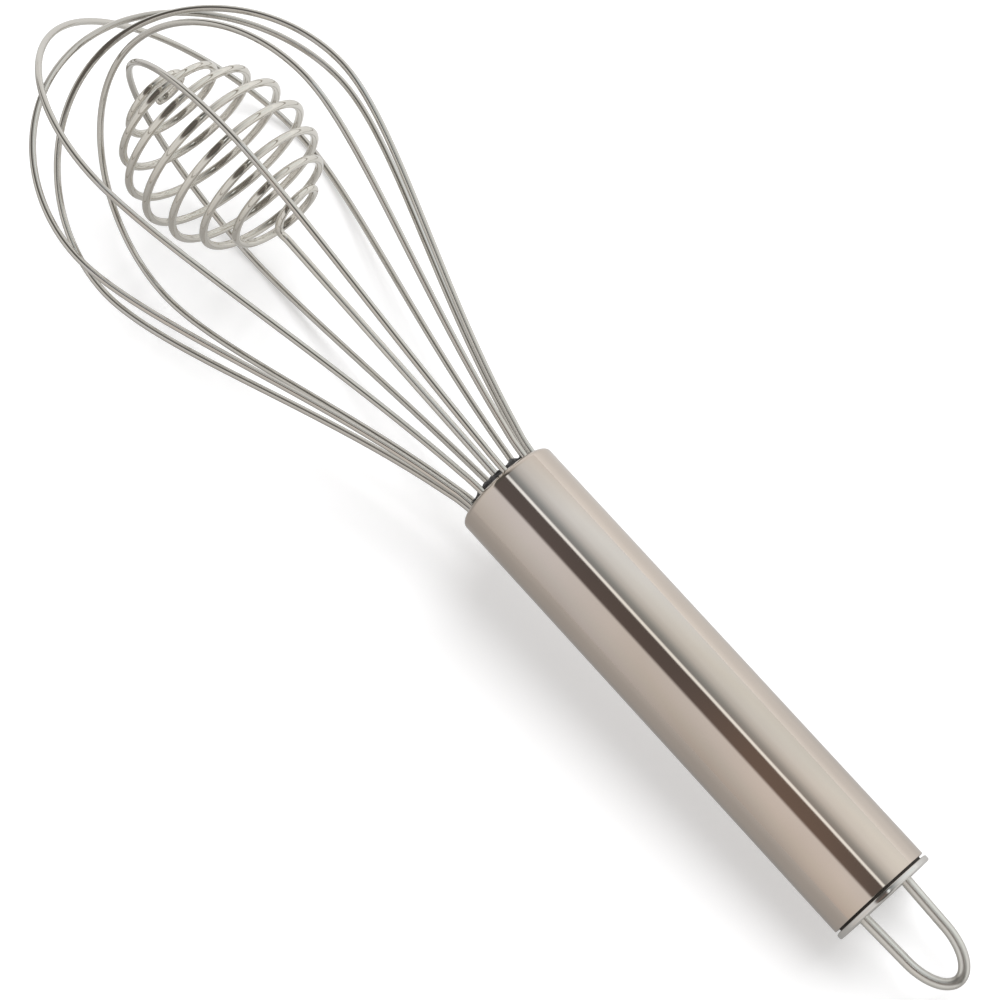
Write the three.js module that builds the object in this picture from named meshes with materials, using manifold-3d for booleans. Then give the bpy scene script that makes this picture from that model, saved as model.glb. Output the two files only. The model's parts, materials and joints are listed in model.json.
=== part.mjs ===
// Aerator whisk: a stainless tube handle, five nested balloon wires, and a spiral wire ball on a springy stem.
// Millimetres, +Z up. It is built along its own axis, with the mouth of the handle at height 0 and the tip of the
// balloon above it, and is then laid down as it rests on a table, with the tip towards +X.

import * as THREE from 'three';
import Module from 'manifold-3d';
import { mergeVertices } from 'three/addons/utils/BufferGeometryUtils.js';

// Driving dimensions: handle tube
const HANDLE_DIAMETER = 25;
const HANDLE_LENGTH = 120;
const HANDLE_WALL = 0.8;
const LIP_ROLL_RADIUS = 2.3;

// Driving dimensions: clearance between pieces that touch
const FIT_GAP = 0.3;

// Driving dimensions: balloon wires, from the innermost loop to the outermost
const WIRE_DIAMETER = 1.6;
const LOOP_AZIMUTHS = [13, 53, 87, 115, 150];
const LEG_CIRCLE_RADIUS = 8.9;
const LEG_DEPTH = 30;
const NECK_ANGLE = 10.9;
const BELLY_RADIUS = 33.6;
const BELLY_RADIUS_STEP = 1.9;
const BELLY_HEIGHT = 88.6;
const BELLY_HEIGHT_STEP = 3.8;
const TIP_HEIGHT = 129;
const TIP_HEIGHT_STEP = 4.5;

// How far each end of a flank or crown curve pulls along its tangent, as a share of that curve's own reach
const FLANK_NECK_PULL = 0.4;
const FLANK_BELLY_PULL = 0.21;
const CROWN_BELLY_PULL = 0.515;
const CROWN_TIP_PULL = 0.54;

// Driving dimensions: head plug and the potting behind it
const PLUG_DEPTH = 14;
const PLUG_PROUD = 1.8;
const PLUG_EDGE_RADIUS = 0.8;
const RESIN_DEPTH = 22;

// Driving dimensions: spiral ball, wound as one wire from its free end down to the stem
const BALL_WIRE_DIAMETER = 1.85;
const BALL_RADIUS = 20.7;
const BALL_HALF_LENGTH = 21.9;
const BALL_CENTRE_HEIGHT = 100.1;
const BALL_FREE_END_POLAR = 12.7;
const BALL_FREE_END_AZIMUTH = 190.4;
const BALL_FIRST_PITCH = 21.2;
const BALL_PITCH_LOSS = 0.466;
const BALL_TURNS = 7.2;
const BALL_BOW = 3.8;
const BALL_TAIL_TURNS = 0.6;
const BALL_TAIL_DROP = 4.5;
const STEM_SOCKET_DEPTH = 5;
const STEM_LEAN = 1;
const SWAY_LIMIT = 6;

// Driving dimensions: end cap and hang loop
const CAP_SEAM = 0.5;
const CAP_OVERHANG = 0.2;
const CAP_FACE_THICKNESS = 1.4;
const CAP_EDGE_RADIUS = 0.5;
const CAP_SKIRT_LENGTH = 9;
const CAP_SKIRT_WALL = 1;
const HANG_WIRE_DIAMETER = 2.6;
const HANG_LEG_SPACING = 12;
const HANG_END_SPACING = 11.2;
const HANG_END_LENGTH = 10.7;
const HANG_REACH = 23.9;
const HANG_TAIL = 5;
const HANG_FOOT = 3.6;
const HANG_FOOT_BEND = 1.8;

// Fineness of the facets
const LATHE_SEGMENTS = 48;
const ARC_STEPS = 5;
const WIRE_SIDES = 8;
const COIL_SIDES = 6;
const FLANK_STEPS = 9;
const CROWN_STEPS = 9;
const COIL_STEPS_PER_TURN = 24;

// Sizes that follow
const HANDLE_RADIUS = HANDLE_DIAMETER / 2;
const BORE_RADIUS = HANDLE_RADIUS - HANDLE_WALL;
const LIP_RADIUS = HANDLE_RADIUS - LIP_ROLL_RADIUS;
const WIRE_RADIUS = WIRE_DIAMETER / 2;
const BALL_WIRE_RADIUS = BALL_WIRE_DIAMETER / 2;
const HANG_WIRE_RADIUS = HANG_WIRE_DIAMETER / 2;
const PLUG_RADIUS = BORE_RADIUS - FIT_GAP;
const PLUG_BOSS_RADIUS = LEG_CIRCLE_RADIUS - WIRE_RADIUS - 2 * FIT_GAP;
const SWAY_PIVOT_HEIGHT = PLUG_PROUD - STEM_SOCKET_DEPTH / 2;
const CAP_TOP = -HANDLE_LENGTH - CAP_SEAM;
const CAP_FACE = CAP_TOP - CAP_FACE_THICKNESS;
const CAP_FLANGE_RADIUS = HANDLE_RADIUS + CAP_OVERHANG;

const rad = THREE.MathUtils.degToRad;
const wasm = await Module();
wasm.setup();

// Mesh helpers

// Shared vertices merged and flat triangles dropped, so that the surface is one closed skin
function weld(geometry) {
  const bare = new THREE.BufferGeometry();
  bare.setAttribute('position', geometry.getAttribute('position').clone());
  bare.setIndex(geometry.getIndex());
  const merged = mergeVertices(bare, 1e-4);
  const index = merged.getIndex().array;
  const kept = [];
  for (let i = 0; i < index.length; i += 3) {
    const [a, b, c] = index.slice(i, i + 3);
    if (a !== b && b !== c && c !== a) kept.push(a, b, c);
  }
  merged.setIndex(kept);
  return merged;
}

function toSolid(geometry) {
  const skin = weld(geometry);
  return new wasm.Manifold(new wasm.Mesh({
    numProp: 3,
    vertProperties: new Float32Array(skin.getAttribute('position').array),
    triVerts: new Uint32Array(skin.getIndex().array),
  }));
}

function toGeometry(solid) {
  const mesh = solid.getMesh();
  const geometry = new THREE.BufferGeometry();
  geometry.setAttribute('position', new THREE.BufferAttribute(mesh.vertProperties, 3));
  geometry.setIndex(new THREE.BufferAttribute(mesh.triVerts, 1));
  return geometry;
}

function cut(geometry, tools) {
  let solid = toSolid(geometry);
  for (const tool of tools) solid = solid.subtract(toSolid(tool));
  return toGeometry(solid);
}

// Solid of revolution about the whisk's axis, from [radius, height] points that run round the outline
function revolve(outline) {
  const points = outline.map(([radius, height]) => new THREE.Vector2(radius, height));
  const lathe = new THREE.LatheGeometry(points, LATHE_SEGMENTS);
  lathe.rotateX(Math.PI / 2);
  return weld(lathe);
}

// [radius, height] points of an arc about a centre, angles in degrees from the radial direction
function arc(centreRadius, centreHeight, radius, from, to) {
  const points = [];
  for (let i = 0; i <= ARC_STEPS; i += 1) {
    const angle = rad(from + ((to - from) * i) / ARC_STEPS);
    points.push([centreRadius + radius * Math.cos(angle), centreHeight + radius * Math.sin(angle)]);
  }
  return points;
}

// Round wire along a path of points, closed at both ends, with no twist between its rings
function wire(path, radius, sides) {
  const last = path.length - 1;
  const tangents = path.map((point, i) => {
    const ahead = path[Math.min(i + 1, last)];
    const behind = path[Math.max(i - 1, 0)];
    return ahead.clone().sub(behind).normalize();
  });
  const normal = new THREE.Vector3(0, 0, 1).cross(tangents[0]);
  if (normal.length() < 0.1) normal.set(1, 0, 0);
  normal.addScaledVector(tangents[0], -normal.dot(tangents[0])).normalize();
  const positions = [];
  const turn = new THREE.Quaternion();
  path.forEach((point, i) => {
    if (i > 0) normal.applyQuaternion(turn.setFromUnitVectors(tangents[i - 1], tangents[i]));
    const side = tangents[i].clone().cross(normal);
    for (let k = 0; k < sides; k += 1) {
      const angle = (2 * Math.PI * k) / sides;
      const rim = point.clone();
      rim.addScaledVector(normal, radius * Math.cos(angle)).addScaledVector(side, radius * Math.sin(angle));
      positions.push(rim.x, rim.y, rim.z);
    }
  });
  const index = [];
  for (let i = 0; i < last; i += 1) {
    for (let k = 0; k < sides; k += 1) {
      const a = i * sides + k;
      const b = i * sides + ((k + 1) % sides);
      index.push(a, b, b + sides, a, b + sides, a + sides);
    }
  }
  const end = last * sides;
  for (let k = 1; k < sides - 1; k += 1) {
    index.push(0, k + 1, k);
    index.push(end, end + k, end + k + 1);
  }
  const geometry = new THREE.BufferGeometry();
  geometry.setAttribute('position', new THREE.Float32BufferAttribute(positions, 3));
  geometry.setIndex(index);
  return geometry;
}

// Wire paths

// One half of a balloon loop in its own plane, as [radius, height] points from its foot in the handle to the tip
function halfLoop(order) {
  const belly = new THREE.Vector2(BELLY_RADIUS + BELLY_RADIUS_STEP * order, BELLY_HEIGHT + BELLY_HEIGHT_STEP * order);
  const tipHeight = TIP_HEIGHT + TIP_HEIGHT_STEP * order;
  const rise = tipHeight - belly.y;
  const neck = new THREE.Vector2(LEG_CIRCLE_RADIUS, 0);
  const lean = new THREE.Vector2(Math.sin(rad(NECK_ANGLE)), Math.cos(rad(NECK_ANGLE)));
  const flank = new THREE.CubicBezierCurve(
    neck,
    neck.clone().addScaledVector(lean, FLANK_NECK_PULL * belly.y),
    new THREE.Vector2(belly.x, belly.y * (1 - FLANK_BELLY_PULL)),
    belly,
  );
  const crown = new THREE.CubicBezierCurve(
    belly,
    new THREE.Vector2(belly.x, belly.y + CROWN_BELLY_PULL * rise),
    new THREE.Vector2(CROWN_TIP_PULL * belly.x, tipHeight),
    new THREE.Vector2(0, tipHeight),
  );
  const foot = new THREE.Vector2(LEG_CIRCLE_RADIUS, -LEG_DEPTH);
  return [foot, ...flank.getPoints(FLANK_STEPS), ...crown.getPoints(CROWN_STEPS).slice(1)];
}

function atAzimuth(radius, height, azimuth) {
  return new THREE.Vector3(radius * Math.cos(azimuth), radius * Math.sin(azimuth), height);
}

// The whole loop: up one side, over the tip and down the other side
function loopPath(order) {
  const azimuth = rad(LOOP_AZIMUTHS[order]);
  const half = halfLoop(order);
  const up = half.map((point) => atAzimuth(point.x, point.y, azimuth));
  const down = half.slice(0, -1).map((point) => atAzimuth(-point.x, point.y, azimuth));
  return [...up, ...down.reverse()];
}

// Centre line of the ball: a spiral over an ellipsoid, whose pitch in polar degrees tightens turn by turn and which
// bows to one side towards the stem, with a tail that gathers onto the axis and runs down as the stem
function ballPath() {
  const turns = BALL_TURNS + BALL_TAIL_TURNS;
  const steps = Math.round(turns * COIL_STEPS_PER_TURN);
  const points = [];
  for (let i = 0; i <= steps; i += 1) {
    const turn = (turns * i) / steps;
    const polar = rad(BALL_FREE_END_POLAR + BALL_FIRST_PITCH * turn - (BALL_PITCH_LOSS * turn * turn) / 2);
    const azimuth = rad(BALL_FREE_END_AZIMUTH - 360 * turn);
    const tail = Math.max(0, (turn - BALL_TURNS) / BALL_TAIL_TURNS);
    const spread = 1 - THREE.MathUtils.smoothstep(tail, 0, 1);
    const height = BALL_CENTRE_HEIGHT + BALL_HALF_LENGTH * Math.cos(polar) - BALL_TAIL_DROP * tail * tail;
    const point = atAzimuth(BALL_RADIUS * Math.sin(polar) * spread, height, azimuth);
    point.y += BALL_BOW * ((1 - Math.cos(polar)) / 2) ** 2 * spread;
    points.push(point);
  }
  const stemTop = points[points.length - 1].z;
  const stemFoot = PLUG_PROUD - STEM_SOCKET_DEPTH;
  const stemSteps = 4;
  for (let i = 1; i <= stemSteps; i += 1) {
    points.push(new THREE.Vector3(0, 0, THREE.MathUtils.lerp(stemTop, stemFoot, i / stemSteps)));
  }
  return points;
}

// Least clear distance between two stretches of one wire that are more than a third of a turn apart along it
function leastSelfGap(path, radius) {
  const apart = COIL_STEPS_PER_TURN / 3;
  let least = Infinity;
  for (let i = 0; i < path.length; i += 1) {
    for (let k = i + apart; k < path.length; k += 1) {
      least = Math.min(least, path[i].distanceTo(path[k]) - 2 * radius);
    }
  }
  return least;
}

// Centre line of the hang loop: a bent-in foot, a leg that closes in a little outside the cap, the drawn-out round
// end, and the same back again
function hangPath() {
  const half = HANG_LEG_SPACING / 2;
  const endHalf = HANG_END_SPACING / 2;
  const endStart = CAP_FACE - HANG_REACH + HANG_WIRE_RADIUS + HANG_END_LENGTH;
  const footHeight = CAP_TOP + HANG_TAIL;
  const points = [new THREE.Vector3(0, half - HANG_FOOT, footHeight)];
  for (let i = 0; i <= ARC_STEPS; i += 1) {
    const angle = (Math.PI / 2) * (1 - i / ARC_STEPS);
    const y = half - HANG_FOOT_BEND + HANG_FOOT_BEND * Math.cos(angle);
    points.push(new THREE.Vector3(0, y, footHeight - HANG_FOOT_BEND + HANG_FOOT_BEND * Math.sin(angle)));
  }
  points.push(new THREE.Vector3(0, half, CAP_FACE));
  const leg = [...points];
  const bendSteps = 3 * ARC_STEPS;
  for (let i = 0; i <= bendSteps; i += 1) {
    const angle = (Math.PI * i) / bendSteps;
    points.push(new THREE.Vector3(0, endHalf * Math.cos(angle), endStart - HANG_END_LENGTH * Math.sin(angle)));
  }
  return [...points, ...leg.reverse().map((point) => new THREE.Vector3(0, -point.y, point.z))];
}

// Pieces

function handleTube() {
  const rollHeight = -LIP_ROLL_RADIUS;
  const outline = [
    [BORE_RADIUS, -HANDLE_LENGTH],
    [HANDLE_RADIUS, -HANDLE_LENGTH],
    ...arc(LIP_RADIUS, rollHeight, LIP_ROLL_RADIUS, 0, 90),
    ...arc(LIP_RADIUS, rollHeight, LIP_ROLL_RADIUS - HANDLE_WALL, 90, 0),
    [BORE_RADIUS, -HANDLE_LENGTH],
  ];
  return revolve(outline);
}

// Bores for the two legs of each loop, FIT_GAP wider all round than the wire that they hold
function legBores() {
  const bores = [];
  for (const azimuth of LOOP_AZIMUTHS) {
    for (const side of [1, -1]) {
      const floor = atAzimuth(side * LEG_CIRCLE_RADIUS, -LEG_DEPTH - FIT_GAP, rad(azimuth));
      const mouth = atAzimuth(side * LEG_CIRCLE_RADIUS, 0, rad(azimuth));
      bores.push(wire([floor, mouth], WIRE_RADIUS + FIT_GAP, WIRE_SIDES));
    }
  }
  return bores;
}

// Blind socket for the foot of the stem, wide enough for it to sway to its limits
function stemSocket() {
  const swayRoom = (STEM_SOCKET_DEPTH / 2) * Math.tan(rad(SWAY_LIMIT + STEM_LEAN));
  const floor = PLUG_PROUD - STEM_SOCKET_DEPTH - FIT_GAP;
  const mouth = PLUG_PROUD + FIT_GAP;
  const path = [new THREE.Vector3(0, 0, floor), new THREE.Vector3(0, 0, mouth)];
  return wire(path, BALL_WIRE_RADIUS + swayRoom + FIT_GAP, 2 * WIRE_SIDES);
}

// Stopper behind the rolled lip, with a boss that stands out of the mouth inside the ring of wires
function headPlug() {
  const shoulder = -LIP_ROLL_RADIUS - FIT_GAP;
  const outline = [
    [0, -PLUG_DEPTH],
    [PLUG_RADIUS, -PLUG_DEPTH],
    [PLUG_RADIUS, shoulder],
    [PLUG_BOSS_RADIUS, shoulder],
    ...arc(PLUG_BOSS_RADIUS - PLUG_EDGE_RADIUS, PLUG_PROUD - PLUG_EDGE_RADIUS, PLUG_EDGE_RADIUS, 0, 90),
    [0, PLUG_PROUD],
  ];
  return cut(revolve(outline), [...legBores(), stemSocket()]);
}

function resinCore() {
  const top = -PLUG_DEPTH - FIT_GAP;
  const outline = [
    [0, top - RESIN_DEPTH],
    [PLUG_RADIUS, top - RESIN_DEPTH],
    [PLUG_RADIUS, top],
    [0, top],
  ];
  return cut(revolve(outline), legBores());
}

// Shallow cup: a flange that covers the end of the tube, and a skirt that fits its bore
function endCap() {
  const skirtRadius = BORE_RADIUS - FIT_GAP;
  const edge = CAP_FLANGE_RADIUS - CAP_EDGE_RADIUS;
  const outline = [
    [0, CAP_FACE],
    ...arc(edge, CAP_FACE + CAP_EDGE_RADIUS, CAP_EDGE_RADIUS, -90, 0),
    [CAP_FLANGE_RADIUS, CAP_TOP],
    [skirtRadius, CAP_TOP],
    [skirtRadius, CAP_TOP + CAP_SKIRT_LENGTH],
    [skirtRadius - CAP_SKIRT_WALL, CAP_TOP + CAP_SKIRT_LENGTH],
    [skirtRadius - CAP_SKIRT_WALL, CAP_TOP],
    [0, CAP_TOP],
  ];
  const bores = [1, -1].map((side) => {
    const y = (side * HANG_LEG_SPACING) / 2;
    const path = [new THREE.Vector3(0, y, CAP_FACE - 1), new THREE.Vector3(0, y, CAP_TOP + 1)];
    return wire(path, HANG_WIRE_RADIUS + FIT_GAP, 2 * WIRE_SIDES);
  });
  return cut(revolve(outline), bores);
}

// Materials

function steel(color, roughness) {
  return new THREE.MeshStandardMaterial({ color, roughness, metalness: 1 });
}

const tubeSteel = steel(0xb3a59a, 0.25);
const wireSteel = steel(0xb4b0a8, 0.28);
const capSteel = steel(0xd5d2cc, 0.3);
const plugBlack = new THREE.MeshStandardMaterial({ color: 0x17161a, roughness: 0.55, metalness: 0 });
const resinGrey = new THREE.MeshStandardMaterial({ color: 0x4a4a48, roughness: 0.6, metalness: 0 });

// Assembly along the whisk's own axis

function piece(name, geometry, material) {
  const mesh = new THREE.Mesh(geometry, material);
  mesh.name = name;
  return mesh;
}

const loopPaths = LOOP_AZIMUTHS.map((azimuth, order) => loopPath(order));
const ballLine = ballPath();
console.log('aerator_ball least gap to itself, mm:', leastSelfGap(ballLine, BALL_WIRE_RADIUS).toFixed(2));

const whisk = new THREE.Group();
whisk.add(piece('handle_tube', handleTube(), tubeSteel));
whisk.add(piece('head_plug', headPlug(), plugBlack));
whisk.add(piece('resin_core', resinCore(), resinGrey));
loopPaths.forEach((path, order) => {
  whisk.add(piece(`balloon_wire_${order + 1}`, wire(path, WIRE_RADIUS, WIRE_SIDES), wireSteel));
});
whisk.add(piece('end_cap', endCap(), capSteel));
whisk.add(piece('hang_loop', wire(hangPath(), HANG_WIRE_RADIUS, WIRE_SIDES), wireSteel));

// The ball leans a little to one side about the point where its stem springs from the plug
const swayPivot = new THREE.Vector3(0, 0, SWAY_PIVOT_HEIGHT);
const ball = piece('aerator_ball', wire(ballLine, BALL_WIRE_RADIUS, COIL_SIDES), wireSteel);
ball.geometry.translate(0, 0, -SWAY_PIVOT_HEIGHT);
ball.position.copy(swayPivot);
ball.rotation.x = -rad(STEM_LEAN);
whisk.add(ball);

// Rest on a table

// Downward direction, in the whisk's own frame, in which the rim of the cap and one wire on each side touch the table
function restingDown() {
  const points = loopPaths.flat().filter((point) => point.x < 0);
  const sides = [points.filter((point) => point.y > 0), points.filter((point) => point.y <= 0)];
  const down = new THREE.Vector3(-1, 0, 0);
  const settleSteps = 20;
  for (let i = 0; i < settleSteps; i += 1) {
    const touches = sides.map((side) => {
      const lowest = side.reduce((best, point) => (point.dot(down) > best.dot(down) ? point : best));
      return lowest.clone().addScaledVector(down, WIRE_RADIUS);
    });
    const heel = new THREE.Vector3(down.x, down.y, 0).setLength(CAP_FLANGE_RADIUS);
    heel.z = CAP_TOP;
    const normal = touches[0].sub(heel).cross(touches[1].sub(heel)).normalize();
    down.copy(normal.x < 0 ? normal : normal.negate());
  }
  return down;
}

const up = restingDown().negate();
const along = new THREE.Vector3(0, 0, 1).projectOnPlane(up).normalize();
const across = up.clone().cross(along);
const lay = new THREE.Matrix4().makeBasis(along, across, up).transpose();
whisk.quaternion.setFromRotationMatrix(lay);

// Origin under the middle of the whole whisk, on the table
const part = new THREE.Group();
part.add(whisk);
part.updateMatrixWorld(true);
const reach = new THREE.Box3().setFromObject(part, true);
const middle = reach.getCenter(new THREE.Vector3());
whisk.position.set(-middle.x, -middle.y, -reach.min.z);
part.updateMatrixWorld(true);

const swayAxis = new THREE.Vector3(1, 0, 0).transformDirection(whisk.matrixWorld);
console.log('ball sway pivot, mm:', swayPivot.clone().applyMatrix4(whisk.matrixWorld).toArray());
console.log('ball sway axis:', swayAxis.toArray());

export default part;
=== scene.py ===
"""Looks of the aerator whisk: polished handle, nested balloon wires and the spiral ball on its stem.

Each piece is modelled along the whisk's own axis, with the mouth of the handle at height 0 and the tip of
the balloon above it, and is then laid down where the frame has the whisk.
"""

import json
import math

import bpy
from bpy.props import FloatProperty, FloatVectorProperty, IntProperty, PointerProperty
from mathutils import Matrix, Vector
from mathutils.geometry import interpolate_bezier


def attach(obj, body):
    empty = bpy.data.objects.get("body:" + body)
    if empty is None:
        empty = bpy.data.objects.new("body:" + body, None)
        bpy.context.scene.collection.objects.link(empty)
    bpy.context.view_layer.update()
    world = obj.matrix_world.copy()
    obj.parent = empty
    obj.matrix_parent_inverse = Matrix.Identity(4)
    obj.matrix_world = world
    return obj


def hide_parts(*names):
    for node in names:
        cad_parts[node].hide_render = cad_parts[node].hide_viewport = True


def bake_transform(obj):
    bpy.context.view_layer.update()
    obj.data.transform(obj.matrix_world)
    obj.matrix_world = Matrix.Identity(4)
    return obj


bl_info = {
    "name": "Aerator Whisk",
    "version": (1, 0, 0),
    "blender": (4, 5, 0),
    "location": "View3D > Sidebar > Whisk",
    "description": "Models a balloon whisk with a spiral ball inside it, and a table-top stage",
    "category": "Object",
}

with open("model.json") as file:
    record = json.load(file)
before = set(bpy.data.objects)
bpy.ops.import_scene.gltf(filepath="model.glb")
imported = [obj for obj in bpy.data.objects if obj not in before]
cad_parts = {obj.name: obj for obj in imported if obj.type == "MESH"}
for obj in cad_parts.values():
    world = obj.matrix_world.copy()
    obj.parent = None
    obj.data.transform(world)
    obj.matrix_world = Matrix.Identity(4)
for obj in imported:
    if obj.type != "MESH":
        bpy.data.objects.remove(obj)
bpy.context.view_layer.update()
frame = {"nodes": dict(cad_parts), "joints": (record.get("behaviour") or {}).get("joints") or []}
MM = 0.001
BODY = "whisk"
SWAY = next(joint for joint in frame["joints"] if joint["name"] == "ball_sway")
MERGE_DISTANCE = 0.002 * MM
SMOOTH_ANGLE = math.radians(40)
SENSOR_WIDTH = 36
WHITE = (1, 1, 1, 1)


def length(name, description, millimetres):
    """A size in the scene's metres, written in millimetres."""
    return FloatProperty(name=name, description=description, default=millimetres * MM, min=0, unit="LENGTH")


def angle(name, description, degrees):
    """An angle, written in degrees."""
    return FloatProperty(name=name, description=description, default=math.radians(degrees), unit="ROTATION")


def share(name, description, value):
    """A plain number between 0 and 1."""
    return FloatProperty(name=name, description=description, default=value, min=0, max=1, subtype="FACTOR")


def colour(name, description, value):
    """A linear colour."""
    return FloatVectorProperty(
        name=name, description=description, default=value, size=3, subtype="COLOR", min=0, max=1
    )


def location(name, description, metres):
    """A point in the scene's metres."""
    return FloatVectorProperty(name=name, description=description, default=metres, size=3, unit="LENGTH")


def number(name, description, value):
    """A plain number."""
    return FloatProperty(name=name, description=description, default=value)


def count(name, description, value):
    """A whole number."""
    return IntProperty(name=name, description=description, default=value)


class HandleSizes(bpy.types.PropertyGroup):
    """Sizes of the tube, the plug in its mouth, the cap on its end and the hang loop."""

    diameter: length("Diameter", "Outside of the tube", 25)
    tube_length: length("Tube length", "Mouth to butt of the tube", 120)
    wall: length("Wall", "Thickness of the tube", 0.8)
    lip_roll: length("Lip roll", "How far the lip at the mouth is rolled in", 2.3)
    lip_depth: length("Lip depth", "Length of tube over which the lip is rolled in", 1.5)
    butt_edge: length("Butt edge", "Rounding of the tube's cut end", 0.15)
    plug_depth: length("Plug depth", "How far the plug goes down inside the tube", 14)
    plug_proud: length("Plug height", "How far the plug stands out of the mouth", 1.8)
    plug_edge: length("Plug edge", "Rounding round the top of the plug", 1.4)
    plug_sink: length("Plug sink", "How far the plug lies below the lip, outside the ring of wires", 0.5)
    plug_lump_size: length("Lump size", "Width of the lumps in the plug's skin", 1.8)
    plug_lump_height: length("Lump height", "Height of the lumps in the plug's skin", 1.6)
    cap_gap: length("Cap seam", "Dark seam between the tube and the flange of the cap", 0.5)
    cap_overhang: length("Cap overhang", "How far the flange stands out past the tube", 0.2)
    cap_thickness: length("Cap thickness", "Thickness of the flange", 1.4)
    cap_edge: length("Cap edge", "Rounding of the flange", 0.45)
    cap_dish: length("Cap dish", "How far the cap's face is pressed in", 0.25)
    cap_rim: length("Cap rim", "Width of the rim round the pressed-in face", 1.6)
    cap_skirt: length("Cap skirt", "How far the cap goes up inside the tube", 9)
    cap_skirt_wall: length("Skirt wall", "Thickness of the skirt", 1)
    fit_gap: length("Fit gap", "Clearance between pieces that touch", 0.3)
    hang_wire: length("Hang wire", "Diameter of the hang loop's wire", 2.6)
    hang_spacing: length("Leg spacing", "Distance between the hang loop's legs at the cap", 12)
    hang_end_spacing: length("End spacing", "Distance between the legs where the round end starts", 11.2)
    hang_end_length: length("End length", "Length of the hang loop's drawn-out round end", 10.7)
    hang_reach: length("Hang reach", "How far the hang loop stands out of the cap", 23.9)
    hang_tail: length("Hang tail", "How far the legs go up inside the cap", 5)
    hang_foot: length("Hang foot", "Length of the bent-in end of each leg", 3.6)
    hang_bend: length("Foot bend", "Radius of the bend of each foot", 1.8)


class WireSizes(bpy.types.PropertyGroup):
    """Sizes of the balloon wires and the ball."""

    diameter: length("Wire", "Diameter of the balloon's wire", 1.6)
    leg_circle: length("Leg circle", "Radius of the circle on which the legs leave the plug", 8.9)
    leg_depth: length("Leg depth", "How far the legs go down inside the handle", 30)
    neck_angle: angle("Neck angle", "Outward lean of the legs at the mouth", 10.9)
    neck_bend: length("Neck bend", "Length of leg, each way, over which it bends outward", 5)
    belly_radius: length("Belly radius", "Widest reach of the innermost loop", 33.6)
    belly_radius_step: length("Belly radius step", "How much wider each next loop is", 1.9)
    belly_height: length("Belly height", "Height of the innermost loop's widest place", 88.6)
    belly_height_step: length("Belly height step", "How much higher each next loop is widest", 3.8)
    tip_height: length("Tip height", "Height of the innermost loop's tip", 129)
    tip_height_step: length("Tip height step", "How much higher each next loop's tip is", 4.5)
    flank_neck_pull: share("Neck pull", "Pull of the flank's curve at the neck", 0.4)
    flank_belly_pull: share("Belly pull", "Pull of the flank's curve at the belly", 0.21)
    crown_belly_pull: share("Crown pull", "Pull of the crown's curve at the belly", 0.515)
    crown_tip_pull: share("Tip pull", "Pull of the crown's curve at the tip", 0.54)
    ball_wire: length("Ball wire", "Diameter of the ball's wire", 1.85)
    ball_radius: length("Ball radius", "Reach of the ball's wire at the middle", 20.7)
    ball_half_length: length("Ball half length", "Half the ball's length along the axis", 21.9)
    ball_height: length("Ball height", "Height of the ball's centre", 100.1)
    ball_end: angle("Ball end", "Polar angle of the ball's free end", 12.7)
    ball_end_azimuth: angle("Ball end azimuth", "Direction of the ball's free end", 190.4)
    ball_pitch: angle("Ball pitch", "Polar angle that the ball's first turn covers", 21.2)
    ball_pitch_loss: angle("Ball pitch loss", "How much less polar angle each next turn covers", 0.466)
    ball_turns: number("Ball turns", "Turns round the ball", 7.2)
    ball_tail_turns: number("Tail turns", "Turns that gather onto the stem", 0.6)
    ball_tail_drop: length("Tail drop", "How far the last turn is drawn down to the stem", 4.5)
    ball_bow: length("Ball bow", "How far the ball bows to one side towards the stem", 3.8)
    stem_socket: length("Stem socket", "How far the stem goes down into the plug", 5)
    stem_lean: angle("Stem lean", "Sideways lean of the stem and ball", 1)
    stem_bend: length("Stem bend", "Length of stem that bends when the ball sways", 55)


class Finishes(bpy.types.PropertyGroup):
    """Colours and gloss of the whisk's finishes."""

    handle: colour("Handle steel", "Warm polished steel of the tube", (0.64, 0.568, 0.505))
    wire: colour("Wire steel", "Drawn steel of the balloon's wires", (0.63, 0.61, 0.57))
    ball: colour("Ball steel", "Drawn steel of the ball's wire", (0.725, 0.70, 0.645))
    hang: colour("Hang loop steel", "Dull steel of the hang loop", (0.74, 0.73, 0.69))
    cap: colour("Cap steel", "Bright pressed steel of the cap", (0.72, 0.705, 0.68))
    plug: colour("Sealing compound", "Dark compound in the mouth of the tube", (0.018, 0.017, 0.018))
    # The seam's dark colour is painted shade in the gap between the tube and the cap's flange.
    seam: colour("Seam", "Dark sealant in the seam of the end cap", (0.055, 0.049, 0.042))
    resin: colour("Resin", "Cast resin inside the handle", (0.13, 0.12, 0.10))
    handle_gloss: share("Handle roughness", "Middle roughness of the tube", 0.07)
    wire_gloss: share("Wire roughness", "Middle roughness of the wires", 0.07)
    ball_gloss: share("Ball roughness", "Middle roughness of the ball's wire", 0.1)
    hang_gloss: share("Hang loop roughness", "Middle roughness of the hang loop", 0.3)
    cap_gloss: share("Cap roughness", "Middle roughness of the cap", 0.14)
    plug_gloss: share("Compound roughness", "Middle roughness of the compound in the mouth", 0.35)
    seam_gloss: share("Seam roughness", "Middle roughness of the sealant in the seam", 0.7)
    resin_gloss: share("Resin roughness", "Middle roughness of the cast resin", 0.35)


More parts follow.
